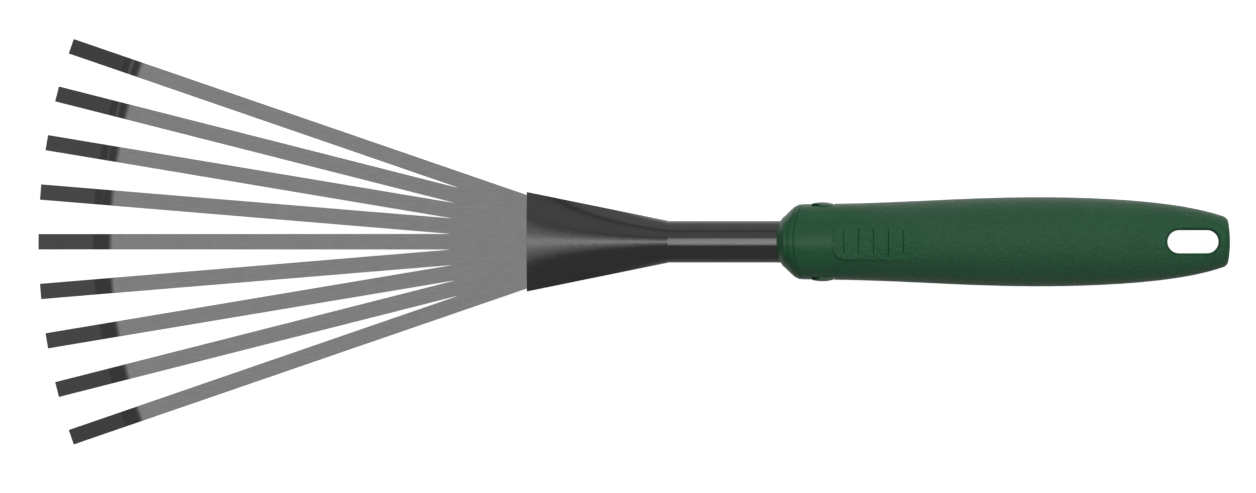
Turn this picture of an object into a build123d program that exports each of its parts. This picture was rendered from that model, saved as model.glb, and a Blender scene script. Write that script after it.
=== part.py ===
from build123d import *
import os
from math import cos, radians, sin, sqrt, tan

# Hand rake: a sprung fan of nine steel tines on a tube shank with a moulded grip.
#
# Frame, in millimetres: +X runs along the tool's axis from the tines to the butt, +Z is up, and the
# tine tips point down. The origin is under the middle of the tool, level with the tine tips.

# --- Driving dimensions -------------------------------------------------------------------------

length = 400.0
tip_x = -length / 2
butt_x = length / 2

# Fan: nine equal strips of sheet that meet at one centre, and share one bend line radius.
tine_count = 9
tine_pitch = 4.75
tine_width = 5.25
sheet = 1.2
fan_radius = 201.6
bend_start_radius = 176.7
bend_angle = 50.0
bend_radius = 9.4
tine_root_radius = 50.0
plate_front_radius = 59.0

# Socket: a pressed cone, a lens of two arcs at the mouth and round at the neck.
mouth_x = -36.1
mouth_half_width = 16.75
mouth_crown = 3.5
mouth_opening_half_width = 14.9
tang_half_width = 12.9
tang_end_gap = 1.0
socket_wall = 0.9
neck_x = 11.2
neck_radius = 7.1
neck_bore_length = 8.0

# Shank: a tube on a slotted spigot.
tube_radius = 7.0
tube_wall = 1.2
tube_end_x = 128.0
spigot_end_x = 31.0
tongue_front_x = -15.0
tongue_width = 10.0
tongue_depth = 7.0
tongue_corner = 1.5
rivet_x = -7.5
rivet_radius = 2.0
rivet_head_radius = 3.2
rivet_head_height = 0.7

# Grip: stations along the axis, each with the section's half width and half depth.
nose_x = 47.8
bevel_stations = [(nose_x, 5.3, 9.4), (50.0, 8.25, 12.35)]
nose_stations = [(50.0, 8.25, 12.35), (52.0, 10.1, 12.45), (54.0, 11.85, 12.55), (56.6, 12.65, 12.6)]
grip_stations = [
    (56.6, 12.65, 12.6),
    (80.0, 13.1, 12.9),
    (110.0, 14.4, 13.7),
    (136.0, 15.0, 13.9),
    (160.0, 14.35, 12.8),
    (177.0, 12.9, 10.9),
    (butt_x, 7.8, 7.4),
]
butt_crown_radius = 40.0
butt_edge_radius = 2.6

# Seams of the grip, curved in plan and nearest the fan on the axis.
front_seam_x = 51.3
front_seam_radius = 23.5
rear_seam_x = 53.3
rear_seam_radius = 29.0
seam_chamfer = 0.25

# Core inside the grip.
core_radius = 9.0
core_end_x = 135.0
rib_count = 4
rib_height = 1.2
rib_width = 1.8
pin_x = 112.0
pin_radius = 1.5
pin_bore_radius = 0.8
pin_slit = 0.4
pin_length = 17.6

# Snap arms of the nose collar and their windows in the sides of the grip.
arm_front_x = 53.3
arm_inner_radius = 9.15
arm_outer_radius = 10.9
arm_width = 8.7
arm_clearance = 0.15
hook_end_clearance = 0.05
window_front_x = 59.6
window_rear_x = 67.2
window_corner = 0.4
hook_front_radius = 12.8
hook_crest_x = 63.6
hook_crest_radius = 13.3
hook_rear_radius = 12.65
hook_tip_width = 1.2
hook_full_x = 62.3

# Thumb pad on top of the grip.
pad_front_x = 66.7
pad_rear_x = 97.4
pad_width = 12.0
pad_front_corner = 4.5
pad_floor_height = 10.5
pad_front_crown = (12.85, 40.0)
pad_rear_crown = (13.4, 14.3)
pad_cut_height = 20.0
pad_groove_x = 70.3
pad_groove_pitch = 5.0
pad_groove_lengths = [7.6, 8.7, 8.7, 8.7, 7.6]
pad_groove_width = 0.45
pad_groove_depth = 0.35

# Hang slot through the butt.
slot_front_x = 179.0
slot_rear_x = 196.1
slot_width = 7.7
slot_rim_width = 0.85
slot_rim_depth = 1.5

# How far the forms that cut or trim the grip and its nose run out past them.
cut_reach = 30.0
nose_reach = 18.0

# --- Derived places -----------------------------------------------------------------------------

fan_centre_x = tip_x + fan_radius
fan_half_angle = tine_pitch * (tine_count - 1) / 2
plate_front_x = fan_centre_x - plate_front_radius
tang_end_x = fan_centre_x - tang_end_gap
bend_run = bend_radius * sin(radians(bend_angle))
tip_length = (fan_radius - bend_start_radius - bend_run) / cos(radians(bend_angle))
tip_drop = bend_radius * (1 - cos(radians(bend_angle))) + tip_length * sin(radians(bend_angle))
axis_height = tip_drop + sheet * cos(radians(bend_angle)) - sheet / 2
tube_bore_radius = tube_radius - tube_wall
tool_axis = Axis((0, 0, axis_height), (1, 0, 0))
plan = Plane.XY.offset(axis_height)
side = Plane(origin=(0, 0, axis_height), x_dir=(1, 0, 0), z_dir=(0, -1, 0))


# --- Shared forms -------------------------------------------------------------------------------


def section_plane(x):
    """A plane across the tool's axis, its local x along +Y and its local y along +Z."""
    return Plane(origin=(x, 0, axis_height), x_dir=(0, 1, 0), z_dir=(1, 0, 0))


def tine_plane(angle):
    """The upright plane along one tine, its local x outwards from the fan's centre."""
    outwards = (-cos(radians(angle)), -sin(radians(angle)), 0)
    across = (-sin(radians(angle)), cos(radians(angle)), 0)
    return Plane(origin=(fan_centre_x, 0, axis_height), x_dir=outwards, z_dir=across)


def fan_half_width(x):
    """Half the plate's width at x, along the outer edges of the two outer tines."""
    return (fan_centre_x - x) * tan(radians(fan_half_angle)) + tine_width / 2 / cos(radians(fan_half_angle))


def axial_solid(start_x, end_x, radius):
    """A round bar along the tool's axis."""
    with BuildPart() as bar:
        with BuildSketch(section_plane(start_x)):
            Circle(radius)
        extrude(amount=end_x - start_x)
    return bar.part


def lens(x, half_width, crown):
    """A section at x of two equal arcs that meet at the sides, which is a circle at full crown."""
    with BuildSketch(section_plane(x)) as section:
        with BuildLine():
            ThreePointArc((half_width, 0), (0, crown), (-half_width, 0))
            ThreePointArc((-half_width, 0), (0, -crown), (half_width, 0))
        make_face()
    return section.sketch


def ahead_of_seam(seam_x, seam_radius):
    """The nose's space on the fan's side of a seam that is an arc in plan."""
    with BuildPart() as space:
        with BuildSketch(plan):
            with Locations((seam_x, 0)):
                Rectangle(2 * nose_reach, 2 * nose_reach)
            with Locations((seam_x + seam_radius, 0)):
                Circle(seam_radius, mode=Mode.SUBTRACT)
        extrude(amount=nose_reach, both=True)
    return space.part


def chamfer_seams(piece):
    """Breaks the outer edges of a nose piece where its seams, its only cylindrical faces so far, end."""
    chamfer(piece.faces().filter_by(GeomType.CYLINDER).edges(), seam_chamfer)


def arm_strips(inner_radius, outer_radius, rear_x, width):
    """Two strips along the grip's sides, curved round the tool's axis and equally wide in height."""
    with BuildPart() as strips:
        with BuildSketch(plan):
            with Locations((arm_front_x, inner_radius)):
                Rectangle(rear_x - arm_front_x, outer_radius - inner_radius, align=(Align.MIN, Align.MIN))
        revolve(axis=tool_axis)
        with BuildSketch(side):
            with Locations((arm_front_x, 0)):
                Rectangle(2 * cut_reach, width)
        extrude(amount=cut_reach, both=True, mode=Mode.INTERSECT)
    return strips.part


def arm_space():
    """The room for both snap arms in the pieces that they pass through."""
    return arm_strips(
        core_radius, arm_outer_radius + arm_clearance, window_rear_x, arm_width + 2 * arm_clearance
    )


def snap_hooks():
    """The two arrow-shaped hooks that stand on the ends of the snap arms."""
    front_x = window_front_x
    rear_x = window_rear_x - hook_end_clearance
    with BuildPart() as hooks:
        with BuildSketch(plan):
            with BuildLine():
                crest = ThreePointArc(
                    (front_x, hook_front_radius),
                    (hook_crest_x, hook_crest_radius),
                    (rear_x, hook_rear_radius),
                )
                Polyline(crest @ 1, (rear_x, arm_outer_radius), (front_x, arm_outer_radius), crest @ 0)
            make_face()
        revolve(axis=tool_axis)
        with BuildSketch(side):
            with BuildLine():
                Polyline(
                    (front_x, hook_tip_width / 2),
                    (hook_full_x, arm_width / 2),
                    (rear_x, arm_width / 2),
                    (rear_x, -arm_width / 2),
                    (hook_full_x, -arm_width / 2),
                    (front_x, -hook_tip_width / 2),
                    close=True,
                )
            make_face()
        extrude(amount=cut_reach, both=True, mode=Mode.INTERSECT)
    return hooks.part


def pad_column():
    """All the space above the thumb pad's floor inside its outline, which is round at the rear."""
    with BuildPart() as column:
        with BuildSketch(plan.offset(pad_floor_height)) as outline:
            with Locations((pad_front_x, 0)):
                Rectangle(pad_rear_x - pad_width / 2 - pad_front_x, pad_width, align=(Align.MIN, Align.CENTER))
            fillet(outline.vertices().group_by(Axis.X)[0], pad_front_corner)
            with Locations((pad_rear_x - pad_width / 2, 0)):
                Circle(pad_width / 2)
        extrude(amount=pad_cut_height)
    return column.part


def pad_section(x, crown_height, crown_radius):
    """A section at x under the thumb pad's top: an upright box closed by an arc across the axis."""
    edge_height = crown_height - crown_radius + sqrt(crown_radius**2 - pad_width**2)
    with BuildSketch(section_plane(x)) as section:
        with BuildLine():
            top = ThreePointArc((pad_width, edge_height), (0, crown_height), (-pad_width, edge_height))
            Polyline(top @ 1, (-pad_width, 0), (pad_width, 0), top @ 0)
        make_face()
    return section.sketch


def pad_groove(x, groove_length):
    """A V across the pad's top that follows its curve, twice as wide and high as what it cuts away."""
    rearward = (x - pad_front_x) / (pad_rear_x - pad_front_x)
    front_height, front_radius = pad_front_crown
    rear_height, rear_radius = pad_rear_crown
    height = front_height + rearward * (rear_height - front_height)
    radius = 1 / (1 / front_radius + rearward * (1 / rear_radius - 1 / front_radius))
    with BuildPart() as groove:
        with BuildSketch(side):
            with BuildLine():
                Polyline(
                    (x - pad_groove_width, height + pad_groove_depth),
                    (x + pad_groove_width, height + pad_groove_depth),
                    (x, height - pad_groove_depth),
                    close=True,
                )
            make_face()
        revolve(axis=Axis((0, 0, axis_height + height - radius), (1, 0, 0)))
        with BuildSketch(plan):
            with Locations((x, 0)):
                Rectangle(2 * pad_groove_width, groove_length)
        extrude(amount=pad_cut_height, mode=Mode.INTERSECT)
    return groove.part


# --- Steel pieces -------------------------------------------------------------------------------

with BuildPart() as socket:
    neck_bore_x = neck_x - neck_bore_length
    loft([lens(mouth_x, mouth_half_width, mouth_crown), lens(neck_x, neck_radius, neck_radius)])
    opening = lens(mouth_x, mouth_opening_half_width, mouth_crown - socket_wall)
    loft([opening, lens(neck_bore_x, tube_bore_radius, tube_bore_radius)], mode=Mode.SUBTRACT)
    add(axial_solid(neck_bore_x, neck_x, tube_bore_radius), mode=Mode.SUBTRACT)

with BuildPart() as tang_rivet:
    with Locations((rivet_x, 0, axis_height)):
        Cylinder(rivet_radius, tongue_depth)
    for face_height, head_side in ((tongue_depth / 2, Align.MIN), (-tongue_depth / 2, Align.MAX)):
        with Locations((rivet_x, 0, axis_height + face_height)):
            Cylinder(rivet_head_radius, rivet_head_height, align=(Align.CENTER, Align.CENTER, head_side))
    for outer_face in (tang_rivet.faces().sort_by(Axis.Z)[0], tang_rivet.faces().sort_by(Axis.Z)[-1]):
        fillet(outer_face.edges(), rivet_head_height / 2)

with BuildPart() as tine_fan:
    # The plate behind the notches. Its shoulders meet the socket's mouth, and its tang goes on inside.
    with BuildSketch(plan.offset(-sheet / 2)):
        with BuildLine():
            Polyline(
                (plate_front_x, fan_half_width(plate_front_x)),
                (mouth_x, fan_half_width(mouth_x)),
                (mouth_x, tang_half_width),
                (tang_end_x, fan_half_width(tang_end_x)),
                (tang_end_x, -fan_half_width(tang_end_x)),
                (mouth_x, -tang_half_width),
                (mouth_x, -fan_half_width(mouth_x)),
                (plate_front_x, -fan_half_width(plate_front_x)),
                close=True,
            )
        make_face()
    extrude(amount=sheet)
    # Each tine is one strip drawn from its side: straight, then the bend, then the straight tip.
    for tine in range(tine_count):
        with BuildSketch(tine_plane(tine * tine_pitch - fan_half_angle)):
            with BuildLine():
                strip = Line((tine_root_radius, sheet / 2), (bend_start_radius, sheet / 2))
                bend = JernArc(strip @ 1, strip % 1, bend_radius, -bend_angle)
                PolarLine(bend @ 1, tip_length, -bend_angle)
                offset(amount=sheet, side=Side.RIGHT)
            make_face()
        extrude(amount=tine_width / 2, both=True)
    add(socket.part, mode=Mode.SUBTRACT)
    add(tang_rivet.part, mode=Mode.SUBTRACT)

with BuildPart() as shank_spigot:
    add(axial_solid(neck_bore_x, spigot_end_x, tube_bore_radius))
    with BuildSketch(section_plane(tongue_front_x)):
        RectangleRounded(tongue_width, tongue_depth, tongue_corner)
    extrude(amount=neck_bore_x - tongue_front_x)
    add(tine_fan.part, mode=Mode.SUBTRACT)
    add(tang_rivet.part, mode=Mode.SUBTRACT)

with BuildPart() as retaining_pin:
    with Locations(Location((pin_x, 0, axis_height), (90, 0, 0))):
        Cylinder(pin_radius, pin_length)
        Cylinder(pin_bore_radius, pin_length, mode=Mode.SUBTRACT)
    with Locations((pin_x, 0, axis_height)):
        Box(pin_slit, pin_length, pin_radius, align=(Align.CENTER, Align.CENTER, Align.MIN), mode=Mode.SUBTRACT)

with BuildPart() as pin_hole:
    with Locations(Location((pin_x, 0, axis_height), (90, 0, 0))):
        Cylinder(pin_radius, pin_length)

with BuildPart() as shank_tube:
    add(axial_solid(neck_x, tube_end_x, tube_radius))
    add(axial_solid(neck_x, tube_end_x, tube_bore_radius), mode=Mode.SUBTRACT)
    add(pin_hole.part, mode=Mode.SUBTRACT)

# --- Grip pieces --------------------------------------------------------------------------------

# The grip's whole outer form.
with BuildPart() as grip_form:
    for stations in (bevel_stations, nose_stations, grip_stations):
        for x, half_width, half_depth in stations:
            with BuildSketch(section_plane(x)):
                Ellipse(half_width, half_depth)
        loft()

with BuildPart() as nose_collar:
    add(grip_form.part)
    add(ahead_of_seam(front_seam_x, front_seam_radius), mode=Mode.INTERSECT)
    chamfer_seams(nose_collar)
    add(axial_solid(nose_x, window_rear_x, tube_radius), mode=Mode.SUBTRACT)
    add(arm_strips(arm_inner_radius, arm_outer_radius, window_rear_x - arm_clearance, arm_width))
    add(snap_hooks())

with BuildPart() as handle_core:
    # The flange fills the band between the two seams.
    add(grip_form.part)
    add(ahead_of_seam(rear_seam_x, rear_seam_radius), mode=Mode.INTERSECT)
    add(ahead_of_seam(front_seam_x, front_seam_radius), mode=Mode.SUBTRACT)
    chamfer_seams(handle_core)
    with BuildSketch(section_plane(rear_seam_x)):
        Circle(core_radius)
    extrude(amount=core_end_x - rear_seam_x)
    with BuildSketch(section_plane(window_rear_x)):
        with PolarLocations(core_radius, rib_count, start_angle=180 / rib_count):
            Rectangle(2 * rib_height, rib_width)
    extrude(amount=core_end_x - window_rear_x)
    add(axial_solid(nose_x, tube_end_x, tube_radius), mode=Mode.SUBTRACT)
    add(arm_space(), mode=Mode.SUBTRACT)
    add(pin_hole.part, mode=Mode.SUBTRACT)

with BuildPart() as grip_shell:
    add(grip_form.part)
    add(ahead_of_seam(rear_seam_x, rear_seam_radius), mode=Mode.SUBTRACT)
    chamfer_seams(grip_shell)
    # A slightly crowned butt with a rounded edge.
    with BuildSketch(plan):
        with Locations((butt_x, 0)):
            Rectangle(cut_reach, 2 * cut_reach)
        with Locations((butt_x - butt_crown_radius, 0)):
            Circle(butt_crown_radius, mode=Mode.SUBTRACT)
    extrude(amount=cut_reach, both=True, mode=Mode.SUBTRACT)
    fillet(grip_shell.faces().sort_by(Axis.X)[-1].edges(), butt_edge_radius)
    with BuildSketch(plan):
        with Locations(((slot_front_x + slot_rear_x) / 2, 0)):
            SlotOverall(slot_rear_x - slot_front_x, slot_width)
    extrude(amount=cut_reach, both=True, mode=Mode.SUBTRACT)
    slot_edges = grip_shell.edges().filter_by_position(Axis.X, slot_front_x, slot_rear_x)
    outer_face = grip_shell.faces().sort_by(SortBy.AREA)[-1]
    rims = slot_edges.filter_by(Axis.Z, reverse=True)
    chamfer(rims, length=slot_rim_width, length2=slot_rim_depth, reference=outer_face)
    add(pad_column(), mode=Mode.SUBTRACT)
    with BuildSketch(side):
        with Locations(((window_front_x + window_rear_x) / 2, 0)):
            RectangleRounded(window_rear_x - window_front_x, arm_width + 2 * arm_clearance, window_corner)
    extrude(amount=cut_reach, both=True, mode=Mode.SUBTRACT)
    add(arm_space(), mode=Mode.SUBTRACT)
    add(axial_solid(nose_x, core_end_x, core_radius), mode=Mode.SUBTRACT)
    add(handle_core.part, mode=Mode.SUBTRACT)

with BuildPart() as thumb_pad:
    # The top is nearly flat at the front, and as round as the grip where it runs out at the rear.
    loft([pad_section(pad_front_x, *pad_front_crown), pad_section(pad_rear_x, *pad_rear_crown)])
    add(pad_column(), mode=Mode.INTERSECT)
    for index, groove_length in enumerate(pad_groove_lengths):
        add(pad_groove(pad_groove_x + index * pad_groove_pitch, groove_length), mode=Mode.SUBTRACT)

# --- Files --------------------------------------------------------------------------------------

pieces = {
    "tine_fan": tine_fan,
    "socket": socket,
    "shank_spigot": shank_spigot,
    "tang_rivet": tang_rivet,
    "shank_tube": shank_tube,
    "handle_core": handle_core,
    "retaining_pin": retaining_pin,
    "grip_shell": grip_shell,
    "nose_collar": nose_collar,
    "thumb_pad": thumb_pad,
}

os.makedirs("parts", exist_ok=True)
for name, piece in pieces.items():
    piece.part.label = name
    export_step(piece.part, f"parts/{name}.step")
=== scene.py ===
import math

import bmesh
import bpy
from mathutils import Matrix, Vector


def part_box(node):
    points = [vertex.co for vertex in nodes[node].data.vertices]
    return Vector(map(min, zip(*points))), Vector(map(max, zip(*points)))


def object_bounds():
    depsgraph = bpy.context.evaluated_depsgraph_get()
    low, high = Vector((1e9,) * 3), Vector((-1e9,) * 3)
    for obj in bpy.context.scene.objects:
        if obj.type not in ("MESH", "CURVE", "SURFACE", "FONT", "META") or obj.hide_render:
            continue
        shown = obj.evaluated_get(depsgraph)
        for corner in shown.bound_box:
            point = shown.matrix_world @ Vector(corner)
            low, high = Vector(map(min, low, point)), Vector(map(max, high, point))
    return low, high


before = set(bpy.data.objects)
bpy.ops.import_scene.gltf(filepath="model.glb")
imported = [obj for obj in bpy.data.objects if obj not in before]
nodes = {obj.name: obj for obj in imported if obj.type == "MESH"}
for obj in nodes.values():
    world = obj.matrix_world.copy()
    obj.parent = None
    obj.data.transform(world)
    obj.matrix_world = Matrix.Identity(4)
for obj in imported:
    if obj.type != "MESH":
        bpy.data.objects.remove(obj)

cad_low, cad_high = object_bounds()

# --- Sizes, in metres ---------------------------------------------------------------------------

tool_length = cad_high.x - cad_low.x
view_width = 1.054 * tool_length
view_shift_x = -0.0021
view_shift_y = -0.0016
camera_height = 1.3
floor_radius = 7.0
backdrop_radius = 0.98 * floor_radius
tip_level_tolerance = 0.00005
edge_wear_radius = 0.0003

# The moulded grain starts behind the smooth nose and reaches full depth along the thumb pad.
pad_low, pad_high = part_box("thumb_pad")
grain_start_x = pad_low.x + 0.1 * (pad_high.x - pad_low.x)
grain_full_x = pad_low.x + 0.75 * (pad_high.x - pad_low.x)

# --- Colours: the greens are pairs that a material's noise goes between -------------------------

plastic_greens = (0.030, 0.180, 0.073), (0.041, 0.220, 0.096)
rubber_greens = (0.033, 0.195, 0.080), (0.042, 0.225, 0.097)
worn_metal = (0.42, 0.42, 0.41)


# --- Node helpers -------------------------------------------------------------------------------


def new_material(name):
    """A node material with its tree and its surface shader."""
    material = bpy.data.materials.new(name)
    material.use_nodes = True
    tree = material.node_tree
    return material, tree, tree.nodes["Principled BSDF"]


def node(tree, kind, values=(), **properties):
    """A new node. values pairs input names or numbers with a constant or with another node's output."""
    made = tree.nodes.new(kind)
    for key, value in properties.items():
        setattr(made, key, value)
    for key, value in values:
        if isinstance(value, bpy.types.NodeSocket):
            tree.links.new(value, made.inputs[key])
        else:
            made.inputs[key].default_value = value
    return made


def math_node(tree, operation, first, second=0.0):
    """The output of one Math node."""
    return node(tree, "ShaderNodeMath", [(0, first), (1, second)], operation=operation).outputs[0]


def ramp(tree, value, start, end, low=0.0, high=1.0):
    """Takes a value from start..end smoothly to low..high, held at both ends."""
    values = [("Value", value), ("From Min", start), ("From Max", end), ("To Min", low), ("To Max", high)]
    return node(tree, "ShaderNodeMapRange", values, interpolation_type="SMOOTHSTEP").outputs["Result"]


def place(tree):
    """Where a point is in the object's own metres."""
    return node(tree, "ShaderNodeTexCoord").outputs["Object"]


def noise(tree, scale, detail=2.0, stretch=(1.0, 1.0, 1.0)):
    """A noise with scale features to the metre, drawn out along an axis whose stretch is under 1."""
    mapping = node(tree, "ShaderNodeMapping", [("Vector", place(tree)), ("Scale", stretch)])
    values = [("Vector", mapping.outputs["Vector"]), ("Scale", scale), ("Detail", detail)]
    return node(tree, "ShaderNodeTexNoise", values).outputs["Fac"]


def bump(tree, height, depth, normal=None):
    """A normal that follows a height from 0 to 1, depth metres deep."""
    values = [("Strength", 1.0), ("Distance", depth), ("Height", height)]
    if normal is not None:
        values.append(("Normal", normal))
    return node(tree, "ShaderNodeBump", values).outputs["Normal"]


def mix_colours(tree, factor, first, second):
    """The colour between two colours."""
    made = node(tree, "ShaderNodeMix", [(0, factor)], data_type="RGBA")
    for socket, colour in ((made.inputs[6], first), (made.inputs[7], second)):
        if isinstance(colour, bpy.types.NodeSocket):
            tree.links.new(colour, socket)
        else:
            socket.default_value = (*colour, 1)
    return made.outputs[2]


def edge_mask(tree, radius):
    """1 along sharp edges and 0 on open faces, from how far a rounded normal leans from the true one."""
    rounded = node(tree, "ShaderNodeBevel", [("Radius", radius)], samples=4).outputs["Normal"]
    true_normal = node(tree, "ShaderNodeNewGeometry").outputs["Normal"]
    likeness = node(
        tree, "ShaderNodeVectorMath", [(0, rounded), (1, true_normal)], operation="DOT_PRODUCT"
    ).outputs["Value"]
    return ramp(tree, likeness, 0.99, 0.8)


def paint(name, material):
    """Gives a CAD node its material."""
    mesh = nodes[name].data
    mesh.materials.clear()
    mesh.materials.append(material)


# --- Materials ----------------------------------------------------------------------------------


def grey_metal(name, grey, roughness, grain_depth, stretch):
    """Dark satin metal with a faint mottle, fine rolling marks and brighter worn edges."""
    material, tree, shader = new_material(name)
    shader.inputs["Metallic"].default_value = 1.0
    mottle = noise(tree, 120, 3)
    speckle = noise(tree, 2600, 2)
    marks = noise(tree, 1500, 3, stretch)
    cloud = ramp(tree, mottle, 0.3, 0.7, -0.03, 0.03)
    fleck = ramp(tree, speckle, 0.25, 0.75, 0.45, 0.55)
    body = mix_colours(tree, math_node(tree, "ADD", cloud, fleck), (0.8 * grey,) * 3, (1.2 * grey,) * 3)
    patchy = ramp(tree, mottle, 0.4, 0.6, 0.2, 1.0)
    worn = math_node(tree, "MULTIPLY", edge_mask(tree, edge_wear_radius), patchy)
    colour = mix_colours(tree, math_node(tree, "MULTIPLY", worn, 0.5), body, worn_metal)
    tree.links.new(colour, shader.inputs["Base Color"])
    rough = ramp(tree, marks, 0.3, 0.7, 0.9 * roughness, 1.1 * roughness)
    tree.links.new(rough, shader.inputs["Roughness"])
    tree.links.new(bump(tree, marks, grain_depth), shader.inputs["Normal"])
    return material


def green_plastic(name, grained):
    """Moulded plastic, smooth or with a spark-eroded grain that fades in behind the nose."""
    material, tree, shader = new_material(name)
    shader.inputs["Specular IOR Level"].default_value = 0.5
    shader.inputs["Sheen Weight"].default_value = 0.08
    shader.inputs["Sheen Roughness"].default_value = 0.3
    cloud = ramp(tree, noise(tree, 70, 3), 0.3, 0.7, 0.4, 0.6)
    contrast = 0.4 if grained else 0.1
    fleck = ramp(tree, noise(tree, 1000, 2), 0.3, 0.7, -contrast, contrast)
    colour = mix_colours(tree, math_node(tree, "ADD", cloud, fleck), *plastic_greens)
    tree.links.new(colour, shader.inputs["Base Color"])
    peel = noise(tree, 420, 2)
    normal = bump(tree, peel, 0.00001)
    rough = ramp(tree, peel, 0.3, 0.7, 0.28, 0.32)
    if grained:
        along = node(tree, "ShaderNodeSeparateXYZ", [(0, place(tree))]).outputs["X"]
        amount = ramp(tree, along, grain_start_x, grain_full_x)
        grain = math_node(tree, "MULTIPLY", noise(tree, 1150, 3), amount)
        normal = bump(tree, grain, 0.00048, normal)
        rough = math_node(tree, "ADD", rough, math_node(tree, "MULTIPLY", amount, 0.07))
        shine = math_node(tree, "ADD", math_node(tree, "MULTIPLY", amount, 0.35), 0.5)
        tree.links.new(shine, shader.inputs["Specular IOR Level"])
    tree.links.new(rough, shader.inputs["Roughness"])
    tree.links.new(normal, shader.inputs["Normal"])
    return material


def pad_rubber():
    """Soft-touch rubber with a coarser grain than the grip's."""
    material, tree, shader = new_material("pad_rubber")
    shader.inputs["Specular IOR Level"].default_value = 0.6
    fleck = ramp(tree, noise(tree, 900, 1), 0.3, 0.7)
    colour = mix_colours(tree, fleck, *rubber_greens)
    tree.links.new(colour, shader.inputs["Base Color"])
    tree.links.new(ramp(tree, fleck, 0.0, 1.0, 0.42, 0.5), shader.inputs["Roughness"])
    tree.links.new(bump(tree, noise(tree, 900, 1), 0.0005), shader.inputs["Normal"])
    return material


steel = grey_metal("spring_steel", 0.2, 0.2, 0.000003, (0.15, 1, 1))
lacquer = grey_metal("dark_lacquer", 0.2, 0.17, 0.000004, (0.4, 1, 1))
plain_steel = grey_metal("plain_steel", 0.4, 0.3, 0.000004, (1, 1, 1))
smooth_green = green_plastic("smooth_green", False)
grip_green = green_plastic("grip_green", True)
paint("tine_fan", steel)
for name in ("socket", "shank_tube"):
    paint(name, lacquer)
for name in ("shank_spigot", "tang_rivet", "retaining_pin"):
    paint(name, plain_steel)
for name in ("nose_collar", "handle_core"):
    paint(name, smooth_green)
paint("grip_shell", grip_green)
paint("thumb_pad", pad_rubber())

# --- Stage --------------------------------------------------------------------------------------


def resting_plane():
    """Where the outer tine tips stand, and the slope from them up to the grip's belly."""
    fan = nodes["tine_fan"].data.vertices
    grip = nodes["grip_shell"].data.vertices
    lowest = min(v.co.z for v in fan)
    tip_x = max(v.co.x for v in fan if v.co.z < lowest + tip_level_tolerance)
    slope = min((v.co.z - lowest) / (v.co.x - tip_x) for v in grip)
    return Vector((tip_x, 0, lowest)), slope


def glowing(name, base, glow):
    """A white that gives off its own light, so that the background stays as pale as in a studio."""
    material, tree, shader = new_material(name)
    shader.inputs["Base Color"].default_value = (base, base, base, 1)
    shader.inputs["Roughness"].default_value = 0.9
    shader.inputs["Specular IOR Level"].default_value = 0.0
    shader.inputs["Emission Color"].default_value = (1, 1, 1, 1)
    shader.inputs["Emission Strength"].default_value = glow
    return material


def stage_object(name, mesh, material):
    """A piece of the background that the object neither reflects nor is lit by."""
    mesh.materials.append(material)
    obj = bpy.data.objects.new(name, mesh)
    bpy.context.scene.collection.objects.link(obj)
    obj.visible_glossy = False
    obj.visible_diffuse = False
    obj.visible_shadow = False
    return obj


def make_floor():
    """A round floor that the tine tips and the grip both touch."""
    spot, slope = resting_plane()
    form = bmesh.new()
    bmesh.ops.create_circle(form, cap_ends=True, segments=96, radius=floor_radius)
    mesh = bpy.data.meshes.new("floor")
    form.to_mesh(mesh)
    form.free()
    floor = stage_object("floor", mesh, glowing("floor", 0.8, 0.91))
    floor.location = spot
    floor.rotation_euler = (0, -math.atan(slope), 0)


def make_backdrop():
    """A dome round the floor, so that a low camera also sees a pale background."""
    form = bmesh.new()
    bmesh.ops.create_icosphere(form, subdivisions=4, radius=backdrop_radius)
    mesh = bpy.data.meshes.new("backdrop")
    form.to_mesh(mesh)
    form.free()
    stage_object("backdrop", mesh, glowing("backdrop", 0.0, 1.0))


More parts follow.
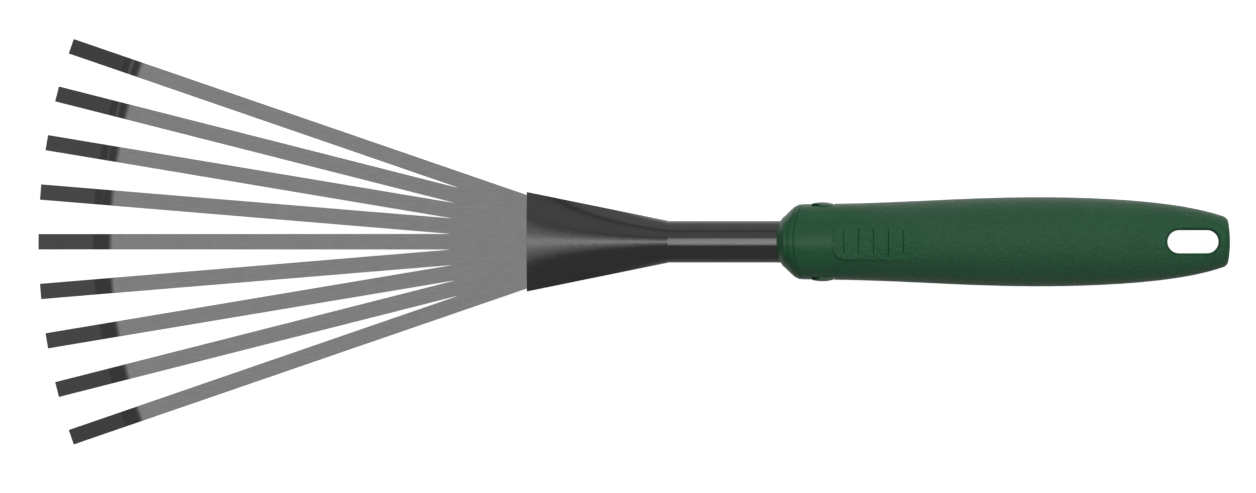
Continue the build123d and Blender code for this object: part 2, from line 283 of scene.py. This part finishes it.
class Studio:
    """Soft light from all round, built in the world: a base glow and soft boxes added to it."""

    def __init__(self, above, below):
        world = bpy.data.worlds.new("studio")
        world.use_nodes = True
        bpy.context.scene.world = world
        self.tree = world.node_tree
        self.direction = node(self.tree, "ShaderNodeTexCoord").outputs["Generated"]
        height = node(self.tree, "ShaderNodeSeparateXYZ", [(0, self.direction)]).outputs["Z"]
        self.light = ramp(self.tree, height, -1.0, -0.15, below, above)

    def along(self, axis):
        """How far the direction goes along an axis."""
        values = [(0, self.direction), (1, tuple(axis))]
        return node(self.tree, "ShaderNodeVectorMath", values, operation="DOT_PRODUCT").outputs["Value"]

    def soft_light(self, azimuth, elevation, half_width, half_height, softness, radiance):
        """Adds a soft-edged oval of light. The angles are in degrees, and azimuth 0 is towards +X."""
        turn, lift = math.radians(azimuth), math.radians(elevation)
        ahead = Vector((math.cos(lift) * math.cos(turn), math.cos(lift) * math.sin(turn), math.sin(lift)))
        across = Vector((-math.sin(turn), math.cos(turn), 0))
        upwards = ahead.cross(across)
        facing = self.along(ahead)
        squares = []
        for axis, half in ((across, half_width), (upwards, half_height)):
            offset = math_node(self.tree, "DIVIDE", self.along(axis), facing)
            share = math_node(self.tree, "DIVIDE", offset, math.tan(math.radians(half)))
            squares.append(math_node(self.tree, "POWER", math_node(self.tree, "ABSOLUTE", share), 2.0))
        distance = math_node(self.tree, "SQRT", math_node(self.tree, "ADD", *squares))
        glow = ramp(self.tree, distance, 1 + softness, 1 - softness, 0.0, radiance)
        # Without this the oval would also show in the opposite direction.
        ahead_only = math_node(self.tree, "GREATER_THAN", facing, 0.01)
        glow = math_node(self.tree, "MULTIPLY", glow, ahead_only)
        self.light = math_node(self.tree, "ADD", self.light, glow)

    def finish(self):
        """Sends the sum to the world."""
        grey = node(self.tree, "ShaderNodeCombineColor", [(0, self.light), (1, self.light), (2, self.light)])
        self.tree.links.new(grey.outputs[0], self.tree.nodes["Background"].inputs["Color"])


def fill_lamp(location, size, radiance):
    """A large soft lamp that lights matt surfaces and isn't seen in glossy ones."""
    data = bpy.data.lights.new("fill", "AREA")
    data.size = size
    data.energy = radiance * math.pi * size**2
    lamp = bpy.data.objects.new("fill", data)
    lamp.location = location
    lamp.rotation_mode = "QUATERNION"
    lamp.rotation_quaternion = Vector(location).to_track_quat("Z", "Y")
    lamp.visible_camera = False
    lamp.visible_glossy = False
    bpy.context.scene.collection.objects.link(lamp)


make_floor()
make_backdrop()
studio = Studio(above=0.055, below=0.28)
# Overhead, an oval that is long across the tool, and its bright end towards the tines.
studio.soft_light(90, 89.6, 8.6, 18, 0.3, 1.05)
studio.soft_light(180, 82, 4.5, 5, 0.5, 0.55)
# The +Y side, from high up to below the table's level, which lights that side's rims.
studio.soft_light(90, 50, 30, 20, 0.5, 0.20)
studio.soft_light(90, 0, 28, 24, 0.3, 0.25)
studio.soft_light(90, -55, 40, 28, 0.5, 0.35)
# The -Y side, faintly.
studio.soft_light(270, 30, 25, 60, 0.4, 0.075)
# Beyond the tines, where their bends and bent tips reflect it.
studio.soft_light(180, 32, 34, 45, 0.25, 0.135)
studio.soft_light(150, 44, 15, 5, 0.5, 0.40)
studio.soft_light(180, -7, 70, 8, 0.4, 0.19)
# Low at two corners, where a low camera sees them in the flat plate.
studio.soft_light(135, 24, 13, 12, 0.3, 0.35)
studio.soft_light(315, 15, 14, 12, 0.3, 0.4)
studio.finish()
fill_lamp((1.05, 0.62, 1.8), 1.0, 3.3)

camera_data = bpy.data.cameras.new("camera")
camera_data.type = "ORTHO"
camera_data.ortho_scale = view_width
camera = bpy.data.objects.new("camera", camera_data)
camera.location = (view_shift_x, view_shift_y, camera_height)
bpy.context.scene.collection.objects.link(camera)
bpy.context.scene.camera = camera
bpy.context.scene.view_settings.view_transform = "Standard"
